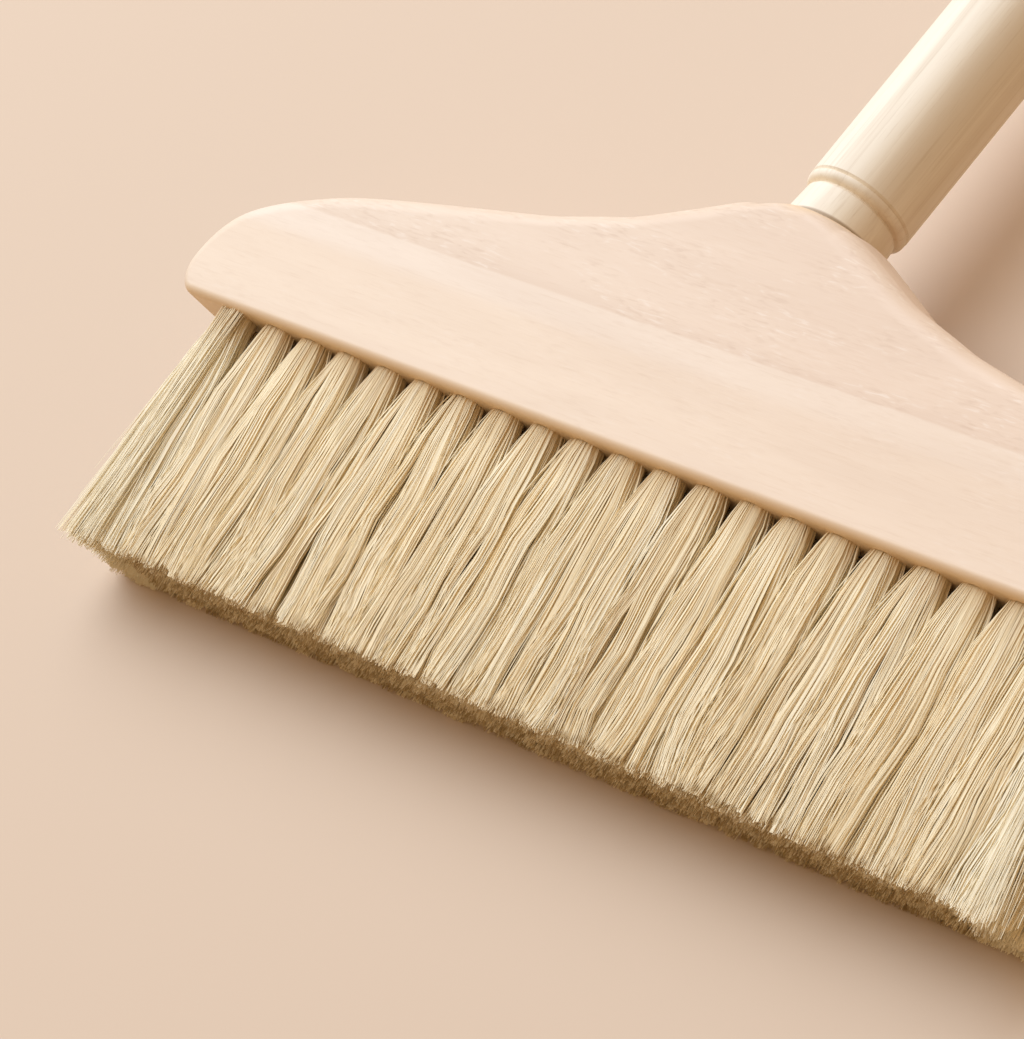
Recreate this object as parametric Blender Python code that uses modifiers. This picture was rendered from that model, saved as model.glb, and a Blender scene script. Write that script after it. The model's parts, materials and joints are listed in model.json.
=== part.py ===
"""Indoor broom with a flat beech head, a leaning pole and rows of natural bristle.

Metres, +Z up. The broom lies on its back: the tips of its rear bristles and the far end of
its pole rest on z = 0, the pole runs along +Y and the head along X. The origin is on that
ground plane, under the middle of the broom.

The head has its own axes, which the empty head_frame carries. Its x runs along the head, its
y from the bristles to the hump, its z out of the broad face, and its origin lies in the middle
of the underside. The pole's own z runs along the pole, from where it leaves the hump.
"""
import math
import random

import bmesh
import bpy
from mathutils import Matrix, Vector

# Head, a board with a hump for the pole
HEAD_LENGTH = 0.297
HEAD_WALL = 0.0030
HUMP_HEIGHT = 0.0636
CREASE_HEIGHT = 0.0272
CREASE_TAPER = 0.0008

# Rounding of the head's edges, smaller along the underside and beside the neck
EDGE_RADIUS = 0.0050
FOOT_RADIUS = 0.0018
FOOT_BLEND = 0.0200
CROWN_RADIUS = 0.0022
CROWN_BLEND_START = 0.0060
CROWN_BLEND_END = 0.0240

# Outline of the head's upper edge: where it passes, its slope there, and how far it runs straight
HUMP_REACH = 0.0115
HUMP_EASE_IN = 0.0050
HUMP_EASE_OUT = 0.0038
FLANK_REACH = 0.0296
FLANK_HEIGHT = 0.0563
FLANK_SLOPE = -0.48
FLANK_EASE_IN = 0.0130
FLANK_EASE_OUT = 0.0160
WING_REACH = 0.0587
WING_HEIGHT = 0.0458
WING_SLOPE = -0.31
WING_EASE_IN = 0.0217
WING_EASE_OUT = 0.0062
TAIL_INSET = 0.0283
TAIL_HEIGHT = 0.0332
TAIL_SLOPE = -0.34
TAIL_EASE_IN = 0.0120
TAIL_EASE_OUT = 0.0231
NOSE_HEIGHT = 0.0088
NOSE_EASE_IN = 0.0125
NOSE_EASE_OUT = 0.0042
NOSE_INSET = 0.0062
FOOT_EASE = 0.0038

# Pole, turned down to a neck and to a tapered plug
POLE_RADIUS = 0.0124
POLE_LENGTH = 1.1618
POLE_LEAN = math.radians(9.8)
POLE_OFFSET = -0.0010
POLE_END_HEIGHT = 0.0090
NECK_STEP = 0.0009
NECK_LENGTH = 0.0066
SHOULDER_LENGTH = 0.0016
PLUG_STEP = 0.0029
PLUG_TAPER = 0.0014
PLUG_LENGTH = 0.0310
PLUG_CHAMFER = 0.0012
SEAT_DEPTH = 0.0034
PLUG_CLEARANCE = 0.0003
SOCKET_FLOOR_CLEARANCE = 0.0010

# Bristle bed, one slice for each column of tufts
COLUMN_PITCH = 0.0122
COLUMN_MARGIN = 0.0140
ROW_COUNT = 3
BED_WALL = 0.0040
BED_THICKNESS = 0.0040
BED_MARGIN = 0.0026
BED_CLEARANCE = 0.0003

# Bristles
BRISTLE_LENGTH = 0.0600
STRAND_SIDES = 3
STRAND_RADIUS = 0.00088
STRAND_TIP_RADIUS = 0.00072
STRAND_ROOT_DEPTH = 0.0015
TUFT_COLUMNS = 3
TUFT_ROWS = 2
TUFT_WIDTH = 0.0044
TUFT_DEPTH = 0.0032
FAN_DEPTH = 0.0038
BEND_PLACE = 0.45
BEND_SHARE = 0.62
SWAY_X = 0.00055
SWAY_Z = 0.00020
RAGGED_LENGTH = 0.0010
REST_TRIM = 0.0005
STRAND_SEED = 7

# Roundness of the turned and curved shapes
POLE_STEPS = 48
OUTLINE_STEPS = 7
EDGE_STEPS = 3
DOME_STEPS = 6
CUT_OVERSHOOT = 0.004
WELD = 0.00001


def neck_radius():
    """Radius of the pole's neck."""
    return POLE_RADIUS - NECK_STEP


def plug_radius():
    """Radius of the plug where it leaves the neck."""
    return neck_radius() - PLUG_STEP


def head_half_thickness():
    """Half the head's thickness, a wall outside the neck."""
    return neck_radius() + HEAD_WALL


def column_count():
    """Number of tuft columns that the head has room for."""
    return int((HEAD_LENGTH - 2 * COLUMN_MARGIN) / COLUMN_PITCH)


def bed_half_depth():
    """Half the bristle bed's depth, front to back."""
    return head_half_thickness() - BED_WALL - BED_CLEARANCE


def row_places():
    """Places of the tuft rows along the head's z, rear row first."""
    outer = bed_half_depth() - BED_MARGIN
    return [outer * (2 * row / (ROW_COUNT - 1) - 1) for row in range(ROW_COUNT)]


def pack_half_depth():
    """Half the depth of the whole bristle pack at its tips."""
    return max(row_places()) + FAN_DEPTH / 2 + STRAND_TIP_RADIUS


def pole_straight_end():
    """Distance along the pole's axis from the hump's top to where the end dome starts."""
    return NECK_LENGTH + SHOULDER_LENGTH + POLE_LENGTH


def resting_tilt():
    """Angle of the head's y axis above the ground, with bristle tips and pole end down."""
    reach = pole_straight_end()
    along = HUMP_HEIGHT + BRISTLE_LENGTH + reach * math.cos(POLE_LEAN) - POLE_RADIUS * math.sin(POLE_LEAN)
    across = POLE_OFFSET + pack_half_depth() - reach * math.sin(POLE_LEAN) - POLE_RADIUS * math.cos(POLE_LEAN)
    return math.atan2(-across, along) + math.asin(REST_TRIM / math.hypot(along, across))


def head_location():
    """World place of the middle of the head's underside."""
    tilt = resting_tilt()
    height = BRISTLE_LENGTH * math.sin(tilt) + pack_half_depth() * math.cos(tilt) - REST_TRIM
    front_tips = -BRISTLE_LENGTH * math.cos(tilt) - pack_half_depth() * math.sin(tilt)
    pole_foot = HUMP_HEIGHT * math.cos(tilt) - POLE_OFFSET * math.sin(tilt)
    pole_top = pole_foot + (pole_straight_end() + POLE_END_HEIGHT) * math.cos(tilt - POLE_LEAN)
    return Vector((0.0, -(front_tips + pole_top) / 2, height))


def clear_scene():
    """Remove every object of the open scene."""
    for old in list(bpy.data.objects):
        bpy.data.objects.remove(old, do_unlink=True)


def new_collection(name):
    """Make a collection under the scene's own."""
    collection = bpy.data.collections.new(name)
    bpy.context.scene.collection.children.link(collection)
    return collection


def make_material(name, colour, roughness):
    """Plain matt material in one colour."""
    material = bpy.data.materials.new(name)
    material.use_nodes = True
    shader = material.node_tree.nodes["Principled BSDF"]
    shader.inputs["Base Color"].default_value = (*colour, 1.0)
    shader.inputs["Roughness"].default_value = roughness
    shader.inputs["Metallic"].default_value = 0.0
    return material


def add_object(name, mesh, collection, parent):
    """Link a mesh as a named object under a parent empty."""
    new = bpy.data.objects.new(name, mesh)
    new.parent = parent
    collection.objects.link(new)
    return new


def add_empty(name, collection, parent, location, turn_x):
    """Add an empty that carries the axes of a sub-assembly."""
    empty = add_object(name, None, collection, parent)
    empty.location = location
    empty.rotation_euler = (turn_x, 0.0, 0.0)
    return empty


def bake(source):
    """Replace an object's data by the mesh that its modifiers give."""
    bpy.context.view_layer.update()
    evaluated = source.evaluated_get(bpy.context.evaluated_depsgraph_get())
    mesh = bpy.data.meshes.new_from_object(evaluated)
    mesh.name = source.name
    source.modifiers.clear()
    source.data = mesh


def combine(body, tool, operation):
    """Cut a tool from a body, or join it to the body, and remove the tool."""
    boolean = body.modifiers.new(operation.lower(), "BOOLEAN")
    boolean.operation = operation
    boolean.solver = "EXACT"
    boolean.object = tool
    bake(body)
    bpy.data.objects.remove(tool, do_unlink=True)


def smooth(target, angle=math.radians(35)):
    """Shade a round piece smooth, with its real edges kept sharp."""
    target.data.shade_smooth()
    target.data.set_sharp_from_angle(angle=angle)


def box_mesh(name, low, high):
    """Box mesh between two corners."""
    mesh = bpy.data.meshes.new(name)
    shape = bmesh.new()
    bmesh.ops.create_cube(shape, size=1.0)
    size = Vector(high) - Vector(low)
    middle = (Vector(high) + Vector(low)) / 2
    bmesh.ops.transform(shape, matrix=Matrix.LocRotScale(middle, None, size), verts=shape.verts)
    shape.to_mesh(mesh)
    shape.free()
    return mesh


def turned_object(name, profile, collection, parent):
    """Turn a profile of (radius, height) pairs, top to bottom, about the local z axis."""
    mesh = bpy.data.meshes.new(name)
    points = [(radius, 0.0, height) for radius, height in profile]
    mesh.from_pydata(points, [(i, i + 1) for i in range(len(points) - 1)], [])
    turned = add_object(name, mesh, collection, parent)
    screw = turned.modifiers.new("turn", "SCREW")
    screw.axis = "Z"
    screw.steps = POLE_STEPS
    screw.render_steps = POLE_STEPS
    screw.use_merge_vertices = True
    screw.merge_threshold = WELD
    bake(turned)
    return turned


def outline_points():
    """Right half of the head's outline, from the hump down to the underside.

    Each entry is a point, and the direction and length of its tangent on both sides.
    """
    half = HEAD_LENGTH / 2
    level = Vector((1.0, 0.0))
    down = Vector((0.0, -1.0))
    return [
        (Vector((HUMP_REACH, HUMP_HEIGHT)), level, HUMP_EASE_IN, HUMP_EASE_OUT),
        (Vector((FLANK_REACH, FLANK_HEIGHT)), Vector((1.0, FLANK_SLOPE)), FLANK_EASE_IN, FLANK_EASE_OUT),
        (Vector((WING_REACH, WING_HEIGHT)), Vector((1.0, WING_SLOPE)), WING_EASE_IN, WING_EASE_OUT),
        (Vector((half - TAIL_INSET, TAIL_HEIGHT)), Vector((1.0, TAIL_SLOPE)), TAIL_EASE_IN, TAIL_EASE_OUT),
        (Vector((half, NOSE_HEIGHT)), down, NOSE_EASE_IN, NOSE_EASE_OUT),
        (Vector((half - NOSE_INSET, 0.0)), -level, FOOT_EASE, FOOT_EASE),
    ]


def add_outline(curve):
    """Write the mirrored outline as one closed Bezier spline, clockwise from the hump."""
    corners = []
    for point, slope, before, after in outline_points():
        along = slope.normalized()
        corners.append((point, point - along * before, point + along * after))
    flip = Matrix.Diagonal((-1.0, 1.0))
    mirrored = [(flip @ point, flip @ after, flip @ before) for point, before, after in reversed(corners)]
    spline = curve.splines.new("BEZIER")
    spline.bezier_points.add(len(corners + mirrored) - 1)
    for target, (point, before, after) in zip(spline.bezier_points, corners + mirrored):
        target.co = point.to_3d()
        target.handle_left = before.to_3d()
        target.handle_right = after.to_3d()
    spline.use_cyclic_u = True


def outline_loop(collection):
    """Points around the head's outline, clockwise, each with its direction into the board."""
    curve = bpy.data.curves.new("head_outline", "CURVE")
    curve.dimensions = "2D"
    curve.fill_mode = "NONE"
    curve.resolution_u = OUTLINE_STEPS
    add_outline(curve)
    outline = add_object("head_outline", curve, collection, None)
    bpy.context.view_layer.update()
    evaluated = outline.evaluated_get(bpy.context.evaluated_depsgraph_get())
    mesh = bpy.data.meshes.new_from_object(evaluated)
    points = [vertex.co.to_2d() for vertex in mesh.vertices]
    bpy.data.objects.remove(outline, do_unlink=True)
    bpy.data.meshes.remove(mesh)
    loop = []
    for before, point, after in zip(points[-1:] + points, points, points[1:] + points[:1]):
        along = (point - before).normalized() + (after - point).normalized()
        loop.append((point, Vector((along.y, -along.x)).normalized()))
    return loop


def ease(value, start, end):
    """Share of the way from start to end, with a soft beginning and ending."""
    share = min(1.0, max(0.0, (value - start) / (end - start)))
    return share * share * (3 - 2 * share)


def rim_radius(point):
    """Radius of the head's rounded edge at a point of its outline."""
    side = FOOT_RADIUS + (EDGE_RADIUS - FOOT_RADIUS) * ease(point.y, 0.0, FOOT_BLEND)
    if point.y < CREASE_HEIGHT:
        return side
    away = ease(abs(point.x), CROWN_BLEND_START, CROWN_BLEND_END)
    return CROWN_RADIUS + (side - CROWN_RADIUS) * away


def board_ring(shape, loop, side, angle):
    """One ring of the board's edge, at an angle of its rounding, on its front or rear side."""
    ring = []
    for point, inward in loop:
        radius = rim_radius(point)
        place = point + inward * radius * (1 - math.cos(angle))
        height = head_half_thickness() - radius * (1 - math.sin(angle))
        ring.append(shape.verts.new((place.x, place.y, side * height)))
    return ring


def board_mesh(collection):
    """Board of the head's outline with rounded edges, and a single face on each side."""
    loop = outline_loop(collection)
    quarter = [math.pi / 2 * step / EDGE_STEPS for step in range(EDGE_STEPS + 1)]
    shape = bmesh.new()
    rings = [board_ring(shape, loop, -1, angle) for angle in reversed(quarter)]
    rings += [board_ring(shape, loop, 1, angle) for angle in quarter]
    for lower, upper in zip(rings, rings[1:]):
        for index in range(len(loop)):
            shape.faces.new((lower[index - 1], lower[index], upper[index], upper[index - 1]))
    shape.faces.new(rings[0])
    shape.faces.new(reversed(rings[-1]))
    bmesh.ops.recalc_face_normals(shape, faces=shape.faces)
    mesh = bpy.data.meshes.new("head_block")
    shape.to_mesh(mesh)
    shape.free()
    return mesh


def plane_above_crease(board):
    """Make the board thinner from its crease up to the hump."""
    shape = bmesh.new()
    shape.from_mesh(board.data)
    geometry = shape.verts[:] + shape.edges[:] + shape.faces[:]
    bmesh.ops.bisect_plane(shape, geom=geometry, dist=WELD,
                           plane_co=(0.0, CREASE_HEIGHT, 0.0), plane_no=(0.0, 1.0, 0.0))
    for vertex in shape.verts:
        above = max(0.0, vertex.co.y - CREASE_HEIGHT) / (HUMP_HEIGHT - CREASE_HEIGHT)
        vertex.co.z *= 1.0 - above * CREASE_TAPER / head_half_thickness()
    shape.to_mesh(board.data)
    shape.free()


def plug_profile(grow, floor):
    """Profile of the plug and the seated neck, larger by a clearance, down to a floor height."""
    return [
        (neck_radius() + grow, -SEAT_DEPTH - grow),
        (plug_radius() + grow, -SEAT_DEPTH - grow),
        (plug_radius() - PLUG_TAPER + grow, floor + PLUG_CHAMFER),
        (plug_radius() - PLUG_TAPER - PLUG_CHAMFER + grow, floor),
        (0.0, floor),
    ]


def head_block(collection, parent, pole_axis):
    """Head with the pole's socket and the bed's pocket cut into it."""
    block = add_object("head_block", board_mesh(collection), collection, parent)
    plane_above_crease(block)
    mouth = [(0.0, CUT_OVERSHOOT), (neck_radius() + PLUG_CLEARANCE, CUT_OVERSHOOT)]
    socket = mouth + plug_profile(PLUG_CLEARANCE, -PLUG_LENGTH - SOCKET_FLOOR_CLEARANCE)
    combine(block, turned_object("socket_cutter", socket, collection, pole_axis), "DIFFERENCE")
    reach = (COLUMN_PITCH * column_count() + BED_CLEARANCE) / 2
    depth = bed_half_depth() + BED_CLEARANCE
    pocket = box_mesh("pocket_cutter", (-reach, -CUT_OVERSHOOT, -depth),
                      (reach, BED_THICKNESS + BED_CLEARANCE, depth))
    combine(block, add_object("pocket_cutter", pocket, collection, parent), "DIFFERENCE")
    smooth(block)
    return block


def handle(collection, pole_axis):
    """Pole with its domed end, its shoulder, its neck and its tapered plug."""
    dome_start = pole_straight_end()
    quarter = [math.pi / 2 * step / DOME_STEPS for step in range(DOME_STEPS)]
    dome = [(POLE_RADIUS * math.sin(angle), dome_start + POLE_END_HEIGHT * math.cos(angle))
            for angle in quarter]
    straight = [(POLE_RADIUS, dome_start), (POLE_RADIUS, NECK_LENGTH + SHOULDER_LENGTH)]
    neck = [(neck_radius(), NECK_LENGTH)]
    profile = dome + straight + neck + plug_profile(0.0, -PLUG_LENGTH)
    pole = turned_object("handle", profile, collection, pole_axis)
    smooth(pole)
    return pole


def tuft_pattern():
    """Places of a tuft's strands, from -0.5 to 0.5 of its width and of its depth."""
    across = [index / (TUFT_COLUMNS - 1) - 0.5 for index in range(TUFT_COLUMNS)]
    deep = [index / (TUFT_ROWS - 1) - 0.5 for index in range(TUFT_ROWS)]
    return [(x, z) for z in deep for x in across]


def fan_width():
    """Width of a tuft at its tips, where the strands of all columns stand evenly."""
    return COLUMN_PITCH * (TUFT_COLUMNS - 1) / TUFT_COLUMNS


def strand_path(column_x, row_z, share, draw):
    """Root, bend and tip of one strand, on the head's axes."""
    root = Vector((column_x + share[0] * TUFT_WIDTH, STRAND_ROOT_DEPTH, row_z + share[1] * TUFT_DEPTH))
    length = BRISTLE_LENGTH - draw.uniform(0.0, RAGGED_LENGTH)
    tip = Vector((column_x + share[0] * fan_width(), -length, row_z + share[1] * FAN_DEPTH))
    bend = root.lerp(tip, BEND_SHARE)
    bend.y = -BEND_PLACE * BRISTLE_LENGTH
    bend.x += draw.uniform(-SWAY_X, SWAY_X)
    bend.z += draw.uniform(-SWAY_Z, SWAY_Z)
    tip.x += draw.uniform(-SWAY_X, SWAY_X)
    return root, bend, tip


def rest_height(point, tilt, place):
    """World height of a point given on the head's axes."""
    return point.y * math.sin(tilt) + point.z * math.cos(tilt) + place.z


def add_strand(shape, path, tilt, place):
    """Add one tapered strand, trimmed flat where the broom rests on it."""
    radii = (STRAND_RADIUS, STRAND_RADIUS, STRAND_TIP_RADIUS)
    rings = []
    for centre, radius in zip(path, radii):
        ring = []
        for side in range(STRAND_SIDES):
            angle = 2 * math.pi * side / STRAND_SIDES
            point = centre + Vector((math.cos(angle), 0.0, math.sin(angle))) * radius
            point.z += max(0.0, -rest_height(point, tilt, place)) / math.cos(tilt)
            ring.append(shape.verts.new(point))
        rings.append(ring)
    for upper, lower in zip(rings, rings[1:]):
        for side in range(STRAND_SIDES):
            after = (side + 1) % STRAND_SIDES
            shape.faces.new((upper[side], upper[after], lower[after], lower[side]))
    shape.faces.new(reversed(rings[0]))
    shape.faces.new(rings[-1])


def column_strands(column_x, draw):
    """Mesh of all the strands of one column of tufts."""
    tilt = resting_tilt()
    place = head_location()
    shape = bmesh.new()
    for row_z in row_places():
        for share in tuft_pattern():
            add_strand(shape, strand_path(column_x, row_z, share, draw), tilt, place)
    bmesh.ops.recalc_face_normals(shape, faces=shape.faces)
    mesh = bpy.data.meshes.new("strands")
    shape.to_mesh(mesh)
    shape.free()
    return mesh


def bristle_column(index, collection, parent, draw):
    """Slice of the bed with the strands of one column of tufts."""
    column_x = (index - (column_count() - 1) / 2) * COLUMN_PITCH
    name = f"bristle_column_{index + 1:02d}"
    half = (COLUMN_PITCH - BED_CLEARANCE) / 2
    depth = bed_half_depth()
    mesh = box_mesh(name, (column_x - half, 0.0, -depth), (column_x + half, BED_THICKNESS, depth))
    column = add_object(name, mesh, collection, parent)
    strands = add_object(f"{name}_strands", column_strands(column_x, draw), collection, parent)
    combine(column, strands, "UNION")
    return column


def main():
    """Build the broom."""
    clear_scene()
    parts = new_collection("indoor_broom")
    head_wood = make_material("oiled_beech", (0.90, 0.72, 0.55), 0.5)
    pole_wood = make_material("pale_pole_wood", (0.92, 0.80, 0.62), 0.55)
    hair = make_material("blond_bristle", (0.76, 0.65, 0.42), 0.6)
    head_frame = add_empty("head_frame", parts, None, head_location(), resting_tilt())
    foot = Vector((0.0, HUMP_HEIGHT, POLE_OFFSET))
    pole_axis = add_empty("pole_axis", parts, head_frame, foot, -math.pi / 2 - POLE_LEAN)
    head_block(parts, head_frame, pole_axis).data.materials.append(head_wood)
    handle(parts, pole_axis).data.materials.append(pole_wood)
    draw = random.Random(STRAND_SEED)
    for index in range(column_count()):
        bristle_column(index, parts, head_frame, draw).data.materials.append(hair)


main()
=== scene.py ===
"""Looks of the indoor broom: an oiled beech head, a pale pole and rows of blond bristle tufts.

All sizes are metres. The head's own axes are x along the head, y from the bristles up to the
hump and z out of its broad front. The pole's own z runs along the pole from the hump's top.
"""

import json
import math

import bmesh
import bpy
import numpy as np
from mathutils import Euler, Matrix, Vector


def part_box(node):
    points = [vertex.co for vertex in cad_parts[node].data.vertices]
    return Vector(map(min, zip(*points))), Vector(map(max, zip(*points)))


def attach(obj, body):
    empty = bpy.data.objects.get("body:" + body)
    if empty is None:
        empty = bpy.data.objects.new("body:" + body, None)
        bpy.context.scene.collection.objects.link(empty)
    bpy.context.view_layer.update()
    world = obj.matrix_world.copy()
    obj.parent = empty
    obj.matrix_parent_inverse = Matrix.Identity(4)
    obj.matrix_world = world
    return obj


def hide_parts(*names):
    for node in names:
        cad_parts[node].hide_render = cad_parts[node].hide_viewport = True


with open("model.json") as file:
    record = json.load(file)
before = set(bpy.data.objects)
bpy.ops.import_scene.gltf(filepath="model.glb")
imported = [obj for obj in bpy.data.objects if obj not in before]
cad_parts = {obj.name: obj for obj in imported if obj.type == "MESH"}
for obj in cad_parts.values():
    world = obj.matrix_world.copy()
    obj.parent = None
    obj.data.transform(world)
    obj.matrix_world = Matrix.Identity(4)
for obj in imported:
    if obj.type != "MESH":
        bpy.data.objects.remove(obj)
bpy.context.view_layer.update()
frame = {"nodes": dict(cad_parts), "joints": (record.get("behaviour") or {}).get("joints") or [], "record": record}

bl_info = {
    "name": "Indoor Broom",
    "version": (1, 0, 0),
    "blender": (4, 5, 0),
    "location": "View3D > Sidebar > Broom",
    "description": "Builds an indoor broom with a beech head, a pole and natural bristles",
    "category": "Add Mesh",
}


def mount(name):
    """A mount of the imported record, by its name."""
    return next(m for m in frame["record"]["mounts"] if m["name"] == name)


# The head's axes, read from its two flat faces, and the pole's, read from its joint
MOUNT_HEIGHT = 0.017
HEAD_X = Vector((1.0, 0.0, 0.0))
HEAD_Z = Vector(mount("head_front")["axis"]).normalized()
HEAD_Y = HEAD_Z.cross(HEAD_X)
FRONT_POINT = Vector(mount("head_front")["pos_m"])
BACK_POINT = Vector(mount("head_back")["pos_m"])
HEAD_THICKNESS = (FRONT_POINT - BACK_POINT).length
HEAD_ORIGIN = (FRONT_POINT + BACK_POINT) / 2 - HEAD_Y * MOUNT_HEIGHT
HEAD_MATRIX = Matrix.Translation(HEAD_ORIGIN) @ Matrix((HEAD_X, HEAD_Y, HEAD_Z)).transposed().to_4x4()
HUMP_HEIGHT = 0.0636
POLE_OFFSET = -0.0010
POLE_Z = Vector(frame["joints"][0]["axis"]).normalized()
POLE_Y = POLE_Z.cross(HEAD_X)
POLE_FOOT = HEAD_MATRIX @ Vector((0.0, HUMP_HEIGHT, POLE_OFFSET))
POLE_MATRIX = Matrix.Translation(POLE_FOOT) @ Matrix((HEAD_X, POLE_Y, POLE_Z)).transposed().to_4x4()
POLE_REACH = (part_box("handle")[1].y - POLE_FOOT.y) / POLE_Z.y

# The bristle columns, read from their solids
COLUMN_NODES = sorted(name for name in frame["nodes"] if name.startswith("bristle_column"))
COLUMN_PLACES = [sum(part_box(name), Vector()).x / 2 for name in COLUMN_NODES]
COLUMN_PITCH = (COLUMN_PLACES[-1] - COLUMN_PLACES[0]) / (len(COLUMN_PLACES) - 1)

# Steps round the head's outline and in quarter arcs, and the sizes that blend the head's surfaces
OUTLINE_STEPS = 20
ARC_STEPS = 8
RING_STEP = 0.001
FOOT_BLEND = (0.0, 0.020)
CROWN_BLEND = (0.006, 0.024)
CREASE_SOFTNESS = 0.0012
CROWN_RADIUS = 0.0120
CROWN_SOFTNESS = 0.001
CROWN_HEIGHTS = (0.035, 0.055)
CROWN_SLICE = 0.0015
CROWN_SLICES = 8
HOLE_SIDES = 28
SMOOTH_ANGLE = math.radians(38)

# The pole and its socket
POLE_SIDES = 128
PLUG_LENGTH = 0.0310
PLUG_RADIUS = 0.0086
PLUG_TIP_RADIUS = 0.0072
PLUG_CHAMFER = 0.0012
SEAT_DEPTH = 0.0034
WAIST_STEP = 0.0005
GROOVE_DEPTH = 0.0004
DOME_LENGTH = 0.0090
DOME_FLAT = 0.0004
SOCKET_SLACK = 0.0010
CUT_OVERSHOOT = 0.006
WALL_TOLERANCE = 0.00008
WALL_DEPTH = 0.0031
MOUTH_BEVEL = 0.0006
MOUTH_ANGLE = math.radians(25)

# The hair's mesh and map
HAIR_MAP = "OFBake"
HAIR_STRIPS = 64
HAIR_RINGS = 10
HAIR_SIDES = 3
HAIR_TAPER = 0.30
HAIR_TWIST = 0.18
STRIP_SHARE = (0.15, 0.85)
END_MAP = np.array([[0.2, 0.004], [0.8, 0.004], [0.5, 0.0]])

# Where the tufts stand, and how they open below the head. Pairs are for outer and middle rows
DISC_SHAKE = 0.35
ROOT_DEPTH = 0.0045
RING_CROWDING = 0.95
ROW_PLACES = (-0.0088, 0.0, 0.0088)
ROW_LEAN = 0.0024
ROW_HAIRS = (1.0, 0.5)
END_HAIRS = 1.3
END_SHIFT = 0.0010
END_SHIFT_FALL = 0.02
SPRING = (0.0009, 0.0034)
SPRING_FALL = 0.015
OPENING_RATE = 4.0
OPEN_WIDTH = 0.54
OPEN_GAP = 0.0007
OPEN_DEPTH = (0.0029, 0.0044)
SHELL_SHARE = 0.55
SHELL_ANGLE = 1.9
SHELL_DEPTH = 0.07
BOXINESS = (0.55, 0.92)
BOXY_FROM = 0.25

# How clumps and hairs stray: reach in x and z, then cycles of a wave or the power of a lean
WAVE_SHARE = (0.3, 1.0)
CLUMP_LEAN = ((0.0011, 0.0003), 1.3)
CLUMP_WAVES = (((0.00095, 0.00028), (0.9, 2.2)), ((0.00040, 0.00014), (1.7, 3.2)))
HAIR_WAVE = ((0.00018, 0.00008), (0.6, 2.4))
HAIR_LEANS = (((0.00045, 0.00018), 1.3), ((0.00040, 0.00018), 0.3))
LOOSE_SHARE = 0.16
LOOSE_LEAN = ((0.0022, 0.0005), 0.4)
PINCH = (0.04, 0.32)
END_PINCH = 0.2
PINCH_CYCLES = (0.8, 2.2)
PINCH_FROM = 0.12

# The small points that hairs gather in at their tips
HAIRS_PER_POINT = 6
POINT_GATHER = 0.55
POINT_FROM = 0.86
POINT_RAGGED = 0.024
HAIR_RAGGED = 0.010

# How hairs turn out, and their tones from 0, dark, to 1, pale. Pairs are for inner and end columns
HAIR_TURN = (0.4, 0.1)
HAIR_SIZES = (0.80, 1.15)
MEAN_TONE = 0.58
CLUMP_TONE = 0.07
POINT_TONE = 0.11
HAIR_TONE = 0.06
# Painted shade: front-row hairs are a little paler and back-row hairs a little darker
ROW_SHADE_TONE = 0.05
# Painted light: the tufts at both ends get paler tones, for the light that falls on the head's end
END_LIGHT_TONE = 0.36
# Painted shade: hairs at a clump's edge are darker, for the shade in the crevices between clumps
CREVICE_SHADE_TONE = (0.26, 0.10)
EDGE_FROM = 0.70
TONE_LIMITS = (0.02, 0.98)

# Stray hairs at both ends, in locks
WISPS = 1000
WISP_LOCKS = 46
WISP_FRONT_SHARE = 0.92
WISP_FRONT = (0.0098, 0.0124)
WISP_BACK = (-0.0105, 0.0090)
WISP_BEGIN = (-0.0025, 0.0030)
WISP_SCATTER = 0.0005
WISP_REACH = 0.0024
WISP_SPREAD = (1.5, 0.0015)
WISP_SPREAD_LIMIT = 0.0060
WISP_REACH_SCATTER = 0.0007
WISP_BOW = (0.7, 1.1)
WISP_LENGTH = (0.97, 1.03)
WISP_RAGGED = 0.02
WISP_SHORT_SHARE = 0.2
WISP_SHORT = (0.6, 1.0)
WISP_ROOT = 0.002
WISP_LEAN = 0.0016
LOCK_WAVE = ((0.0005, 0.0003), (0.6, 1.6))
WISP_WAVE = ((0.00015, 0.00010), (0.6, 1.6))
# Painted light: the stray hairs get pale tones, for the light that falls on them from the side
WISP_LIGHT_TONES = (0.84, 0.98)
WISP_SIZES = (0.60, 0.95)
RANDOM_SEED = 11


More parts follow.
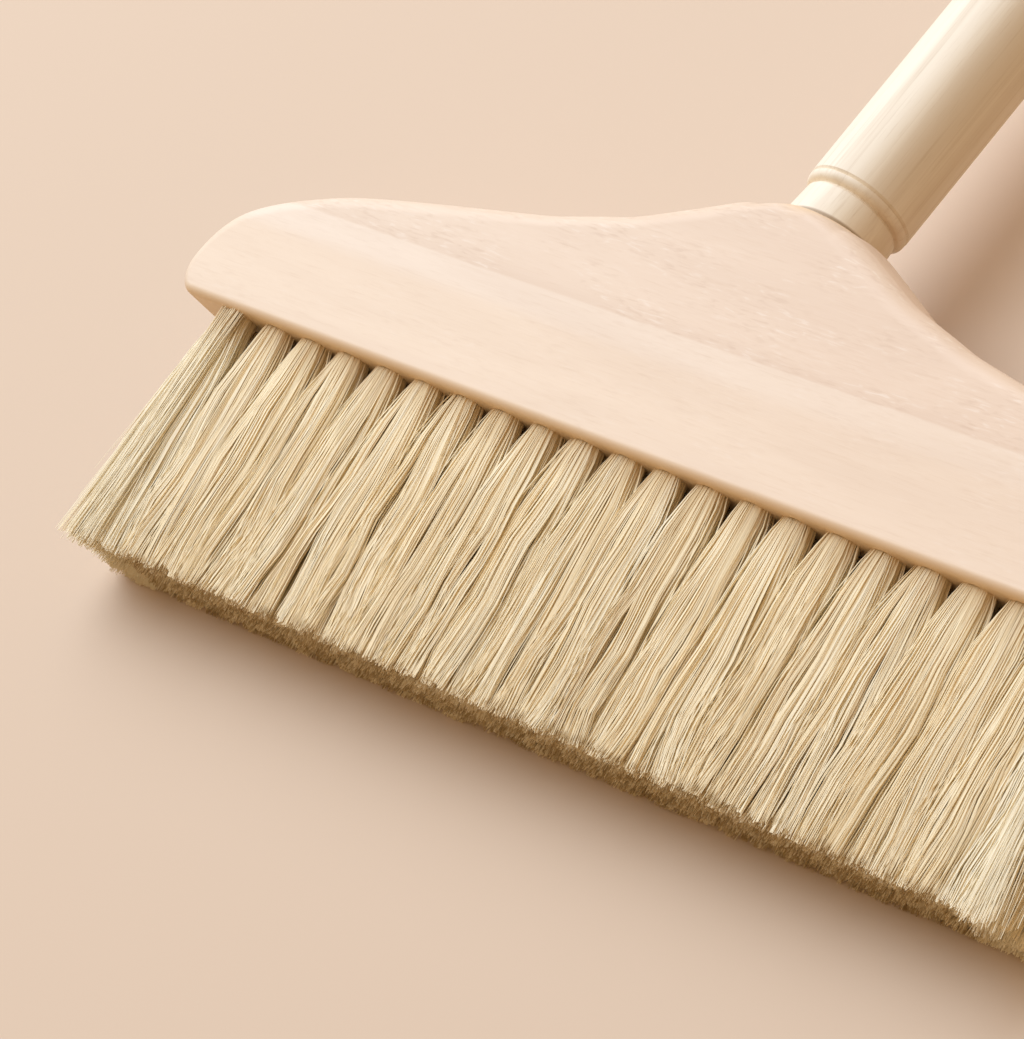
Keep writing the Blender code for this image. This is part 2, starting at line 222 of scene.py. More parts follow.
class HeadSettings(bpy.types.PropertyGroup):
    """Sizes and colours of the wooden head."""

    length: bpy.props.FloatProperty(
        name="Length", description="Length of the head", default=0.297, unit="LENGTH")
    edge_radius: bpy.props.FloatProperty(
        name="Edge Radius", description="Rounding of the upper edges", default=0.0050, unit="LENGTH")
    foot_radius: bpy.props.FloatProperty(
        name="Foot Radius", description="Rounding of the lower edges", default=0.0018, unit="LENGTH")
    crown_rim: bpy.props.FloatProperty(
        name="Crown Rim", description="Rounding beside the pole", default=0.0022, unit="LENGTH")
    crown_fall: bpy.props.FloatProperty(
        name="Crown Fall", description="Slope of the crown round the pole", default=0.50, subtype="FACTOR")
    crease_height: bpy.props.FloatProperty(
        name="Crease Height", description="Height of the crease", default=0.0272, unit="LENGTH")
    crease_taper: bpy.props.FloatProperty(
        name="Crease Taper", description="Wood planed off each face above the crease",
        default=0.0008, unit="LENGTH")
    hole_radius: bpy.props.FloatProperty(
        name="Tuft Hole Radius", description="Radius of the tuft holes", default=0.0032, unit="LENGTH")
    hole_depth: bpy.props.FloatProperty(
        name="Tuft Hole Depth", description="Depth of the tuft holes", default=0.0060, unit="LENGTH")
    band_colour: bpy.props.FloatVectorProperty(
        name="Band Colour", description="Wood below the crease", default=(0.885, 0.710, 0.535),
        subtype="COLOR", size=3, min=0.0, max=1.0)
    # The hump's colour is a little darker than the band's: partly painted shade of the planed face turned from the
    # light, partly a pinker wood tone
    hump_colour: bpy.props.FloatVectorProperty(
        name="Hump Colour", description="Wood above the crease", default=(0.860, 0.690, 0.530),
        subtype="COLOR", size=3, min=0.0, max=1.0)
    # Painted highlight: this colour lights a band below the crease for the light on its ridge, and also gives pale
    # flecks in the wood
    highlight_and_fleck_colour: bpy.props.FloatVectorProperty(
        name="Crease Colour", description="Painted highlight below the crease, and pale flecks", default=(0.905, 0.765, 0.630),
        subtype="COLOR", size=3, min=0.0, max=1.0)
    # Painted shade: the head darkens towards its +x end, away from the light
    falloff_shade_colour: bpy.props.FloatVectorProperty(
        name="Far Colour", description="Painted shade where the light falls off along the head", default=(0.76, 0.50, 0.32),
        subtype="COLOR", size=3, min=0.0, max=1.0)
    # Painted shade and highlight: warm shade along the underside, and a golden highlight round the socket's mouth
    rim_shade_and_highlight_colour: bpy.props.FloatVectorProperty(
        name="Foot Colour", description="Painted warm shade along the underside, and a highlight round the socket", default=(0.86, 0.60, 0.33),
        subtype="COLOR", size=3, min=0.0, max=1.0)
    # This colour also paints the shade in a band just above the crease
    fleck_and_crease_shade_colour: bpy.props.FloatVectorProperty(
        name="Fleck Colour", description="Short dark rays in the wood, and painted shade above the crease", default=(0.56, 0.37, 0.24),
        subtype="COLOR", size=3, min=0.0, max=1.0)


class PoleSettings(bpy.types.PropertyGroup):
    """Sizes and colours of the pole."""

    radius: bpy.props.FloatProperty(
        name="Radius", description="Radius of the pole", default=0.0124, unit="LENGTH")
    neck_radius: bpy.props.FloatProperty(
        name="Neck Radius", description="Radius of the turned neck", default=0.0115, unit="LENGTH")
    neck_length: bpy.props.FloatProperty(
        name="Neck Length", description="Length of the neck above the hump", default=0.0066, unit="LENGTH")
    shoulder_length: bpy.props.FloatProperty(
        name="Shoulder Length", description="Length of the shoulder", default=0.0016, unit="LENGTH")
    clearance: bpy.props.FloatProperty(
        name="Socket Clearance", description="Gap round the plug", default=0.0003, unit="LENGTH")
    colour: bpy.props.FloatVectorProperty(
        name="Colour", description="Pale wood of the pole", default=(0.965, 0.855, 0.685),
        subtype="COLOR", size=3, min=0.0, max=1.0)
    # This colour also paints shade down one side of the pole
    streak_and_shade_colour: bpy.props.FloatVectorProperty(
        name="Streak Colour", description="Darker grain of the pole, and painted shade down one side", default=(0.60, 0.44, 0.27),
        subtype="COLOR", size=3, min=0.0, max=1.0)
    # Painted shade: a thin dark line where the neck meets the head
    seam_shade_colour: bpy.props.FloatVectorProperty(
        name="Seam Shade Colour", description="Thin dark line where the neck meets the head",
        default=(0.30, 0.17, 0.06), subtype="COLOR", size=3, min=0.0, max=1.0)


class BristleSettings(bpy.types.PropertyGroup):
    """Sizes and colours of the bristles."""

    length: bpy.props.FloatProperty(
        name="Length", description="Length of the bristles below the head", default=0.060, unit="LENGTH")
    hairs: bpy.props.IntProperty(
        name="Hairs", description="Hairs in one outer tuft", default=580, min=10, subtype="UNSIGNED")
    clumps: bpy.props.IntProperty(
        name="Clumps", description="Clumps of hair in one tuft", default=13, min=1, subtype="UNSIGNED")
    hair_radius: bpy.props.FloatProperty(
        name="Hair Radius", description="Radius of one hair", default=0.00015, unit="LENGTH")
    tuft_radius: bpy.props.FloatProperty(
        name="Tuft Radius", description="Radius of a tuft in its hole", default=0.0028, unit="LENGTH")
    colour: bpy.props.FloatVectorProperty(
        name="Colour", description="Usual colour of the hairs", default=(0.98, 0.84, 0.575),
        subtype="COLOR", size=3, min=0.0, max=1.0)
    pale_colour: bpy.props.FloatVectorProperty(
        name="Pale Colour", description="Palest hairs", default=(1.0, 0.905, 0.69),
        subtype="COLOR", size=3, min=0.0, max=1.0)
    # This colour also paints shade on the hairs near their roots, under the head
    dark_and_root_shade_colour: bpy.props.FloatVectorProperty(
        name="Dark Colour", description="Darkest hairs, and the hairs near their roots",
        default=(0.70, 0.51, 0.27), subtype="COLOR", size=3, min=0.0, max=1.0)
    tip_colour: bpy.props.FloatVectorProperty(
        name="Tip Colour", description="Ends of the darker hairs", default=(0.46, 0.31, 0.13),
        subtype="COLOR", size=3, min=0.0, max=1.0)


class StageSettings(bpy.types.PropertyGroup):
    """Floor, light and camera."""

    floor_colour: bpy.props.FloatVectorProperty(
        name="Floor Colour", description="Plain pale floor", default=(0.71, 0.545, 0.40),
        subtype="COLOR", size=3, min=0.0, max=1.0)
    key_power: bpy.props.FloatProperty(
        name="Key Power", description="Power of the main light", default=109.5, unit="POWER")
    key_colour: bpy.props.FloatVectorProperty(
        name="Key Colour", description="Colour of the main light", default=(0.70, 0.83, 1.0),
        subtype="COLOR", size=3, min=0.0, max=1.0)
    key_size: bpy.props.FloatProperty(
        name="Key Size", description="Diameter of the round main light", default=3.56, unit="LENGTH")
    sky_strength: bpy.props.FloatProperty(
        name="Sky Strength", description="Strength of the soft light", default=0.47, subtype="UNSIGNED")
    sky_colour: bpy.props.FloatVectorProperty(
        name="Sky Colour", description="Colour of the light from all around", default=(1.0, 0.72, 0.44),
        subtype="COLOR", size=3, min=0.0, max=1.0)
    backdrop_colour: bpy.props.FloatVectorProperty(
        name="Backdrop Colour", description="Colour seen beyond the floor", default=(0.84, 0.68, 0.54),
        subtype="COLOR", size=3, min=0.0, max=1.0)


class Signal:
    """A shader value that Python arithmetic can work on."""

    def __init__(self, shader, socket):
        self.shader = shader
        self.socket = socket

    def maths(self, operation, *values):
        """Add a Math node for an operation on this value and any others."""
        return self.shader.node("ShaderNodeMath", {"operation": operation}, self, *values)

    def __add__(self, other):
        return self.maths("ADD", other)

    __radd__ = __add__

    def __sub__(self, other):
        return self.maths("SUBTRACT", other)

    def __rsub__(self, other):
        return self.shader.node("ShaderNodeMath", {"operation": "SUBTRACT"}, other, self)

    def __mul__(self, other):
        return self.maths("MULTIPLY", other)

    __rmul__ = __mul__

    def smooth_between(self, low, high):
        """0 below low, 1 above high, and a smooth ramp between."""
        settings = {"interpolation_type": "SMOOTHSTEP"}
        return self.shader.node("ShaderNodeMapRange", settings, self, low, high, 0.0, 1.0)


class Shader:
    """A material's node tree with a Principled BSDF, and short ways to add nodes."""

    def __init__(self, name, roughness):
        self.material = bpy.data.materials.new(name)
        self.material.use_nodes = True
        self.tree = self.material.node_tree
        self.surface = self.tree.nodes["Principled BSDF"]
        self.feed("Roughness", roughness)

    def put(self, socket, value):
        """Link or set an input socket."""
        if isinstance(value, Signal):
            self.tree.links.new(value.socket, socket)
        elif socket.type == "RGBA":
            socket.default_value = (*value[:3], 1.0)
        else:
            socket.default_value = value

    def node(self, kind, settings=None, *values, output=0, **named):
        """Add a node with its settings, then its inputs in order or by name."""
        made = self.tree.nodes.new(kind)
        for key, value in (settings or {}).items():
            setattr(made, key, value)
        for socket, value in zip((s for s in made.inputs if s.enabled), values):
            self.put(socket, value)
        for key, value in named.items():
            self.put(made.inputs[key], value)
        return Signal(self, made.outputs[output])

    def mix(self, share, first, second):
        """Mix two colours by a share."""
        return self.node("ShaderNodeMix", {"data_type": "RGBA"}, share, first, second, output=2)

    def place(self, matrix, scale=(1.0, 1.0, 1.0)):
        """Object coordinates on the axes of a matrix, stretched by a scale."""
        coordinates = self.node("ShaderNodeTexCoord", output="Object")
        turned = self.node("ShaderNodeMapping", {"vector_type": "TEXTURE"}, coordinates,
                           matrix.to_translation(), matrix.to_euler())
        return self.node("ShaderNodeMapping", {"vector_type": "POINT"}, turned,
                         Vector(), Euler(), Vector(scale))

    def noise(self, vector, detail=2.0, roughness=0.5, distortion=0.0):
        """Noise at a scale of 1, on stretched coordinates."""
        return self.node("ShaderNodeTexNoise", {"noise_dimensions": "3D"}, vector, 1.0, detail,
                         roughness, 2.0, distortion)

    def feed(self, name, value):
        """Link or set an input of the surface by its name."""
        self.put(self.surface.inputs[name], value)

    def bump(self, height, strength, distance):
        """Set the normal from a bump height."""
        normal = self.node("ShaderNodeBump", Strength=strength, Distance=distance, Height=height)
        self.feed("Normal", normal)


def rim_shade_and_highlight(wood, height):
    """Share of the painted warm shade along the underside and of the painted golden highlight round the mouth of
    the socket.
    """
    foot = 1.0 - height.smooth_between(0.0, 0.0024)
    from_pole = wood.node("ShaderNodeVectorMath", {"operation": "LENGTH"},
                          wood.place(POLE_MATRIX, (1.0, 1.0, 0.0)), output="Value")
    mouth = (1.0 - from_pole.smooth_between(0.0128, 0.0146)) * height.smooth_between(0.0590, 0.0612)
    return foot * 0.6 + mouth * 0.5


def beech(settings):
    """Oiled beech with faint bands, fine pores and short dark rays along the head."""
    wood = Shader("oiled_beech", 0.5)
    bands = wood.noise(wood.place(HEAD_MATRIX, (9.0, 70.0, 90.0)), 3.0, 0.55, 0.6)
    pores = wood.noise(wood.place(HEAD_MATRIX, (110.0, 2100.0, 2100.0)), 2.0, 0.6)
    rays = wood.noise(wood.place(HEAD_MATRIX, (230.0, 1300.0, 1300.0)), 1.5, 0.45, 0.5)
    thick = wood.noise(wood.place(HEAD_MATRIX, (40.0, 120.0, 120.0)), 2.0, 0.5)
    place = wood.place(HEAD_MATRIX)
    height = wood.node("ShaderNodeSeparateXYZ", None, place, output="Y")
    side = wood.node("ShaderNodeSeparateXYZ", None, place, output="X").smooth_between(-0.16, 0.12)
    crease = settings.crease_height
    stripe = (crease - 0.0085, crease - 0.0045)
    shade = (crease, crease + 0.0045)
    above = height.smooth_between(crease - 0.0002, crease + 0.0005)
    # Darker wood above the crease: partly painted shade of the planed face, partly a pinker wood tone
    tone = wood.mix(above, settings.band_colour, settings.hump_colour)
    # Painted shade: darker towards the +x end, where the light falls off, more so on the hump
    tone = wood.mix(side * (above * 0.14 + 0.20), tone, settings.falloff_shade_colour)
    # Painted highlight in a band below the crease, stronger towards the -x end, where the light comes from
    pale = height.smooth_between(*stripe) * (1.0 - above) * (0.60 - side * 0.4)
    tone = wood.mix(pale, tone, settings.highlight_and_fleck_colour)
    # Painted shade in a band just above the crease, below its ridge
    crease_shade = (1.0 - height.smooth_between(*shade)) * above
    tone = wood.mix(bands.smooth_between(0.35, 0.72) * 0.14 + crease_shade * 0.10, tone, settings.fleck_and_crease_shade_colour)
    tone = wood.mix(pores.smooth_between(0.55, 0.80) * 0.12, tone, settings.fleck_and_crease_shade_colour)
    ringed = thick.smooth_between(0.34, 0.60) * (above * 0.16 + 0.10)
    tone = wood.mix(rays.smooth_between(0.50, 0.76) * ringed, tone, settings.fleck_and_crease_shade_colour)
    tone = wood.mix((1.0 - rays.smooth_between(0.26, 0.44)) * ringed * 2.0, tone, settings.highlight_and_fleck_colour)
    # Painted warm shade along the underside and painted highlight round the socket's mouth
    wood.feed("Base Color", wood.mix(rim_shade_and_highlight(wood, height), tone, settings.rim_shade_and_highlight_colour))
    wood.feed("Roughness", pores * 0.18 + 0.42)
    wood.bump(pores + rays * 0.5, 0.25, 0.00006)
    return wood.material


def pole_wood(settings):
    """Pale wood with long streaks, painted shade down the side away from the light, and a painted shade line round
    the neck's foot.
    """
    wood = Shader("pale_pole_wood", 0.5)
    bands = wood.noise(wood.place(POLE_MATRIX, (150.0, 150.0, 4.0)), 3.0, 0.6, 0.5)
    streaks = wood.noise(wood.place(POLE_MATRIX, (850.0, 850.0, 16.0)), 3.0, 0.65, 0.2)
    pores = wood.noise(wood.place(POLE_MATRIX, (2600.0, 2600.0, 120.0)), 2.0, 0.6)
    tone = wood.mix(bands.smooth_between(0.38, 0.70) * 0.30, settings.colour, settings.streak_and_shade_colour)
    tone = wood.mix(streaks.smooth_between(0.50, 0.72) * 0.30, tone, settings.streak_and_shade_colour)
    tone = wood.mix(pores.smooth_between(0.56, 0.80) * 0.22, tone, settings.streak_and_shade_colour)
    place = wood.place(POLE_MATRIX)
    height = wood.node("ShaderNodeSeparateXYZ", None, place, output="Z")
    sideways = wood.node("ShaderNodeSeparateXYZ", None, place, output="X")
    # Painted shade: streak colour down the pole's +x side, away from the light
    tone = wood.mix(sideways.smooth_between(0.0055, 0.0124) * 0.28, tone, settings.streak_and_shade_colour)
    # Painted shade: a thin dark line at the neck's foot, on the side away from the light only
    seam = (height - sideways * 0.08).smooth_between(-0.0017, -0.0010)
    seam_shade = height.smooth_between(-0.0036, -0.0030) * (1.0 - seam) * sideways.smooth_between(-0.009, 0.0)
    wood.feed("Base Color", wood.mix(seam_shade * 0.75, tone, settings.seam_shade_colour))
    wood.feed("Roughness", streaks * 0.2 + 0.40)
    wood.bump(streaks + pores * 0.6, 0.3, 0.00008)
    return wood.material


def bristle_hair(settings):
    """Blond hair whose tone goes by hair across its map, and by place along the hair up it."""
    hair = Shader("blond_bristle", 0.65)
    hair.feed("Specular IOR Level", 0.15)
    uv = hair.node("ShaderNodeUVMap", {"uv_map": HAIR_MAP})
    across = hair.node("ShaderNodeSeparateXYZ", None, uv, output="X")
    along = hair.node("ShaderNodeSeparateXYZ", None, uv, output="Y")
    stretched = hair.node("ShaderNodeMapping", {"vector_type": "POINT"}, uv,
                          Vector(), Euler(), Vector((90.0, 7.0, 1.0)))
    across = across + (hair.noise(stretched) - 0.5) * 0.42
    tone = hair.mix(across.smooth_between(0.0, 0.45), settings.dark_and_root_shade_colour, settings.colour)
    tone = hair.mix(across.smooth_between(0.55, 1.0), tone, settings.pale_colour)
    # Painted shade: hairs darken near their roots, where the head shades them
    roots = 1.0 - along.smooth_between(0.06, 0.22)
    tips = along.smooth_between(0.970, 0.993) * (1.0 - across.smooth_between(0.40, 0.68))
    tone = hair.mix(roots * 0.52, tone, settings.dark_and_root_shade_colour)
    hair.feed("Base Color", hair.mix(tips * 0.80, tone, settings.tip_colour))
    return hair.material


def add_object(name, data):
    """Put a mesh, curve, light or camera into the scene as an object."""
    made = bpy.data.objects.new(name, data)
    bpy.context.scene.collection.objects.link(made)
    return made


def clear_selection():
    """Leave edit mode and select nothing."""
    if bpy.context.object and bpy.context.object.mode != "OBJECT":
        bpy.ops.object.mode_set(mode="OBJECT")
    bpy.ops.object.select_all(action="DESELECT")


def choose(piece):
    """Select one object and make it the active one."""
    clear_selection()
    piece.select_set(True)
    bpy.context.view_layer.objects.active = piece


def apply_place(piece):
    """Move an object's place into its mesh."""
    choose(piece)
    bpy.ops.object.transform_apply(location=True, rotation=True, scale=True)


def face_out():
    """Turn all the faces of the active object outwards."""
    bpy.ops.object.mode_set(mode="EDIT")
    bpy.ops.mesh.select_all(action="SELECT")
    bpy.ops.mesh.normals_make_consistent(inside=False)
    bpy.ops.object.mode_set(mode="OBJECT")


def smooth(piece):
    """Shade the gentle bends of a piece smooth."""
    choose(piece)
    bpy.ops.object.shade_smooth_by_angle(angle=SMOOTH_ANGLE)


def apply_modifier(piece, kind, **settings):
    """Add a modifier with its settings and apply it."""
    choose(piece)
    modifier = piece.modifiers.new(kind.lower(), kind)
    for key, value in settings.items():
        setattr(modifier, key, value)
    bpy.ops.object.modifier_apply(modifier=modifier.name)


def cut(piece, cutter):
    """Cut a closed object from a piece, and remove it."""
    apply_modifier(piece, "BOOLEAN", operation="DIFFERENCE", solver="EXACT", object=cutter)
    bpy.data.objects.remove(cutter, do_unlink=True)


def dress(piece, material, body, slot, *nodes):
    """Give a piece its material and body, and hide the nodes it stands for."""
    piece.data.materials.clear()
    piece.data.materials.append(material)
    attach(piece, body)
    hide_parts(*nodes)


def head_outline(settings):
    """Right half of the head's outline: points with the tangent's direction and lengths."""
    half = settings.length / 2
    level = Vector((1.0, 0.0))
    return [
        (Vector((0.0115, HUMP_HEIGHT)), level, 0.0050, 0.0038),
        (Vector((0.0296, 0.0563)), Vector((1.0, -0.48)), 0.0130, 0.0160),
        (Vector((0.0587, 0.0458)), Vector((1.0, -0.31)), 0.0217, 0.0062),
        (Vector((half - 0.0283, 0.0332)), Vector((1.0, -0.34)), 0.0120, 0.0231),
        (Vector((half, 0.0088)), Vector((0.0, -1.0)), 0.0125, 0.0042),
        (Vector((half - 0.0062, 0.0)), -level, 0.0038, 0.0038),
    ]


def outline_curve(settings):
    """Closed outline of the head as a curve, clockwise from the hump."""
    curve = bpy.data.curves.new("head_outline", "CURVE")
    curve.dimensions = "2D"
    curve.fill_mode = "NONE"
    curve.resolution_u = OUTLINE_STEPS
    corners = []
    for point, slope, before, after in head_outline(settings):
        along = slope.normalized()
        corners.append((point, point - along * before, point + along * after))
    flip = Matrix.Diagonal((-1.0, 1.0))
    corners += [(flip @ point, flip @ after, flip @ before) for point, before, after in reversed(corners)]
    spline = curve.splines.new("BEZIER")
    spline.bezier_points.add(len(corners) - 1)
    for target, (point, before, after) in zip(spline.bezier_points, corners):
        target.co = point.to_3d()
        target.handle_left = before.to_3d()
        target.handle_right = after.to_3d()
    spline.use_cyclic_u = True
    return add_object("head", curve)


def smooth_step(low, high, value):
    """0 below low, 1 above high, and a smooth ramp between."""
    share = min(1.0, max(0.0, (value - low) / (high - low)))
    return share * share * (3.0 - 2.0 * share)


def quarter_turn():
    """Angles from 0 to a right angle."""
    return [math.pi / 2 * step / ARC_STEPS for step in range(ARC_STEPS + 1)]


def rim_radius(point, settings):
    """Radius of the head's rounded edge at a point of its outline."""
    foot = settings.foot_radius
    side = foot + (settings.edge_radius - foot) * smooth_step(*FOOT_BLEND, point.y)
    if point.y < settings.crease_height:
        return side
    return settings.crown_rim + (side - settings.crown_rim) * smooth_step(*CROWN_BLEND, abs(point.x))


def raise_board(board, settings):
    """Extrude the flat outline ring by ring, and set the rings in where the edges are rounded."""
    points = [vertex.co.to_2d() for vertex in board.data.vertices]
    loop = {}
    for before, point, after in zip(points[-1:] + points, points, points[1:] + points[:1]):
        along = (point - before).normalized() + (after - point).normalized()
        loop[point.to_tuple(6)] = (point, Vector((along.y, -along.x)).normalized())
    rings = [(-1, angle) for angle in reversed(quarter_turn())] + [(1, angle) for angle in quarter_turn()]
    bpy.ops.object.mode_set(mode="EDIT")
    bpy.ops.mesh.select_all(action="SELECT")
    bpy.ops.mesh.edge_face_add()
    for _ in rings[1:]:
        bpy.ops.mesh.extrude_region_move(TRANSFORM_OT_translate={"value": (0.0, 0.0, RING_STEP)})
    bpy.ops.object.mode_set(mode="OBJECT")
    for vertex in board.data.vertices:
        point, inward = loop[vertex.co.to_2d().to_tuple(6)]
        side, angle = rings[round(vertex.co.z / RING_STEP)]
        radius = rim_radius(point, settings)
        place = point + inward * radius * (1 - math.cos(angle))
        vertex.co = (*place, side * (HEAD_THICKNESS / 2 - radius * (1 - math.sin(angle))))
    face_out()


def slice_board(shape, places, normal):
    """Cut edges into the board on parallel planes."""
    for place in places:
        bmesh.ops.bisect_plane(shape, geom=shape.verts[:] + shape.edges[:] + shape.faces[:],
                               dist=0.00001, plane_co=normal * place, plane_no=normal)


def eased_ramp(value, soft):
    """0 below zero, the value itself above, and a soft bend between."""
    if abs(value) < soft:
        return (value + soft) ** 2 / (4 * soft)
    return max(0.0, value)


def shape_board(board, settings):
    """Plane the wood above the crease, and turn the crown round the pole's foot."""
    shape = bmesh.new()
    shape.from_mesh(board.data)
    bend = [settings.crease_height + CREASE_SOFTNESS * step / 2 for step in range(-2, 3)]
    slice_board(shape, bend, Vector((0, 1, 0)))
    slabs = [CROWN_SLICE * step for step in range(-CROWN_SLICES, CROWN_SLICES + 1)]
    slice_board(shape, slabs, Vector((0, 0, 1)))
    slope = settings.crease_taper / (HUMP_HEIGHT - settings.crease_height)
    for vertex in shape.verts:
        across, up, out = vertex.co
        planed = slope * eased_ramp(up - settings.crease_height, CREASE_SOFTNESS)
        vertex.co.z = out * (1.0 - planed / (HEAD_THICKNESS / 2))
        reach, level_reach = (eased_ramp(math.hypot(across, depth) - CROWN_RADIUS, CROWN_SOFTNESS)
                              for depth in (out, 0.0))
        share = smooth_step(*CROWN_HEIGHTS, up)
        vertex.co.y = up - settings.crown_fall * (reach - level_reach) * share
    shape.to_mesh(board.data)
    shape.free()


def hole_cutter(settings):
    """All the tuft holes as one cutter, on the head's axes."""
    places = [Vector((x, 0.0, z)) for x in COLUMN_PLACES for z in ROW_PLACES]
    bpy.ops.mesh.primitive_cylinder_add(
        vertices=HOLE_SIDES, radius=settings.hole_radius, depth=settings.hole_depth * 2,
        location=places[0], rotation=(math.pi / 2, 0.0, 0.0))
    first = bpy.context.object
    apply_place(first)
    for place in places[1:]:
        copy = add_object("tuft_hole", first.data.copy())
        copy.data.transform(Matrix.Translation(place - places[0]))
        copy.select_set(True)
    bpy.ops.object.join()
    return first


def turned(name, sections, sides):
    """Turn a piece by hand on its own z: each section is a radius and a height, going up."""
    radius, height = sections[0]
    clear_selection()
    bpy.ops.mesh.primitive_circle_add(vertices=sides, radius=radius, fill_type="NGON",
                                      location=(0.0, 0.0, height))
    piece = bpy.context.object
    piece.name = name
    apply_place(piece)
    bpy.ops.object.mode_set(mode="EDIT")
    bpy.ops.mesh.select_all(action="SELECT")
    for after, level in sections[1:]:
        bpy.ops.mesh.extrude_region_move(TRANSFORM_OT_translate={"value": (0.0, 0.0, level - height)})
        share = after / radius
        bpy.ops.transform.resize(value=(share, share, 1.0), center_override=(0.0, 0.0, level))
        radius, height = after, level
    face_out()
    return piece


def plug_sections(pole, grow, floor):
    """The plug and the seated neck, grown by a clearance, going up to the neck's lower end."""
    return [
        (PLUG_TIP_RADIUS - PLUG_CHAMFER + grow, floor),
        (PLUG_TIP_RADIUS + grow, floor + PLUG_CHAMFER),
        (PLUG_RADIUS + grow, -SEAT_DEPTH - grow),
        (pole.neck_radius + grow, -SEAT_DEPTH - grow),
    ]


def shoulder_sections(pole):
    """The neck's waist, the rounded shoulder and the groove above it, going up."""
    waist = pole.neck_radius - WAIST_STEP
    rise = pole.neck_length
    top = rise + pole.shoulder_length
    full = pole.radius - 0.0001
    sections = [
        (pole.neck_radius, 0.0),
        (waist + 0.0001, rise - 0.0009),
        (waist - 0.0003, rise - 0.0006),
        (waist - GROOVE_DEPTH, rise - 0.0002),
    ]
    for angle in quarter_turn():
        sections.append((waist + (full - waist) * math.sin(angle),
                         rise + pole.shoulder_length * (1 - math.cos(angle))))
    sections.append((full, top + 0.0002))
    sections.append((full - GROOVE_DEPTH, top + 0.0004))
    sections.append((pole.radius, top + 0.0010))
    return sections


def dome_sections(pole):
    """The domed free end, going up to a tiny flat."""
    return [
        (max(DOME_FLAT, pole.radius * math.cos(angle)), POLE_REACH - DOME_LENGTH * (1 - math.sin(angle)))
        for angle in quarter_turn()
    ]


def round_mouth(board, pole):
    """Break the sharp edge round the mouth of the socket."""
    inverse = POLE_MATRIX.inverted() @ HEAD_MATRIX
    wall = pole.neck_radius + pole.clearance
    shape = bmesh.new()
    shape.from_mesh(board.data)
    chosen = []
    for edge in shape.edges:
        places = [inverse @ vertex.co for vertex in edge.verts]
        on_wall = all(abs(math.hypot(p.x, p.y) - wall) < WALL_TOLERANCE for p in places)
        if on_wall and min(p.z for p in places) > -WALL_DEPTH and edge.calc_face_angle(0.0) > MOUTH_ANGLE:
            chosen.append(edge)
    bmesh.ops.bevel(shape, geom=chosen, offset=MOUTH_BEVEL, segments=4, profile=0.5, affect="EDGES",
                    clamp_overlap=True)
    shape.to_mesh(board.data)
    shape.free()


class BROOM_OT_head(bpy.types.Operator):
    """Model the beech head with its crease, its pole socket and its tuft holes"""

    bl_idname = "broom.head"
    bl_label = "Beech Head"

    def execute(self, context):
        settings = context.scene.broom_head
        pole = context.scene.broom_pole
        board = outline_curve(settings)
        choose(board)
        bpy.ops.object.convert(target="MESH")
        board = context.object
        raise_board(board, settings)
        shape_board(board, settings)
        cut(board, hole_cutter(settings))
        socket = plug_sections(pole, pole.clearance, -PLUG_LENGTH - SOCKET_SLACK)
        socket.append((pole.neck_radius + pole.clearance, CUT_OVERSHOOT))
        cutter = turned("socket_cutter", socket, POLE_SIDES)
        cutter.data.transform(HEAD_MATRIX.inverted() @ POLE_MATRIX)
        cut(board, cutter)
        round_mouth(board, pole)
        board.data.transform(HEAD_MATRIX)
        smooth(board)
        apply_modifier(board, "WEIGHTED_NORMAL", keep_sharp=True)
        board.name = "beech_head"
        dress(board, beech(settings), "head", "head_wood", "head_block")
        return {"FINISHED"}


class BROOM_OT_pole(bpy.types.Operator):
    """Turn the pole with its plug, neck, groove, rounded shoulder and domed end"""

    bl_idname = "broom.pole"
    bl_label = "Pole"

    def execute(self, context):
        pole = context.scene.broom_pole
        sections = plug_sections(pole, 0.0, -PLUG_LENGTH) + shoulder_sections(pole) + dome_sections(pole)
        piece = turned("pale_pole", sections, POLE_SIDES)
        piece.data.transform(POLE_MATRIX)
        smooth(piece)
        dress(piece, pole_wood(pole), "pole", "pole_wood", "handle")
        return {"FINISHED"}


def disc_places(count, random):
    """Evenly spread places in a disc of radius 1, a little shaken."""
    steps = np.arange(count) + 0.5
    turn = steps * math.pi * (3.0 - math.sqrt(5.0))
    reach = np.sqrt(steps / count)
    places = np.stack([reach * np.cos(turn), reach * np.sin(turn)], 1)
    return places + random.normal(0.0, DISC_SHAKE / math.sqrt(count), places.shape)


def waves(count, below, sizes, cycles, random):
    """Sideways waves in x and z down the hairs or clumps, still at the root."""
    phase = random.uniform(0.0, 2 * math.pi, (count, 2))
    turns = random.uniform(*cycles, (count, 2))
    swing = random.uniform(*WAVE_SHARE, (count, 2)) * np.array(sizes)
    wave = np.sin(2 * math.pi * turns[:, None] * below[None, :, None] + phase[:, None])
    wave -= np.sin(phase)[:, None]
    return wave * swing[:, None] * np.sqrt(below)[None, :, None]


def drift(count, below, sizes, power, random):
    """A steady lean to one side down the hairs or clumps."""
    lean = random.normal(0.0, 1.0, (count, 2)) * np.array(sizes)
    return lean[:, None] * (below ** power)[None, :, None]


def tuft_places(count, z, side, random):
    """Hair places in a disc of radius 1, about half of them near the side that shows."""
    shown = int(count * (SHELL_SHARE if z or side else 0.0))
    way = math.copysign(math.pi / 2, z) if z else math.pi * (side < 0.0)
    angle = way + random.uniform(-SHELL_ANGLE, SHELL_ANGLE, shown)
    reach = 1.0 - np.abs(random.normal(0.0, SHELL_DEPTH, shown))
    outside = np.stack([np.cos(angle), np.sin(angle)], 1) * reach[:, None]
    return np.concatenate([outside, disc_places(count - shown, random)])


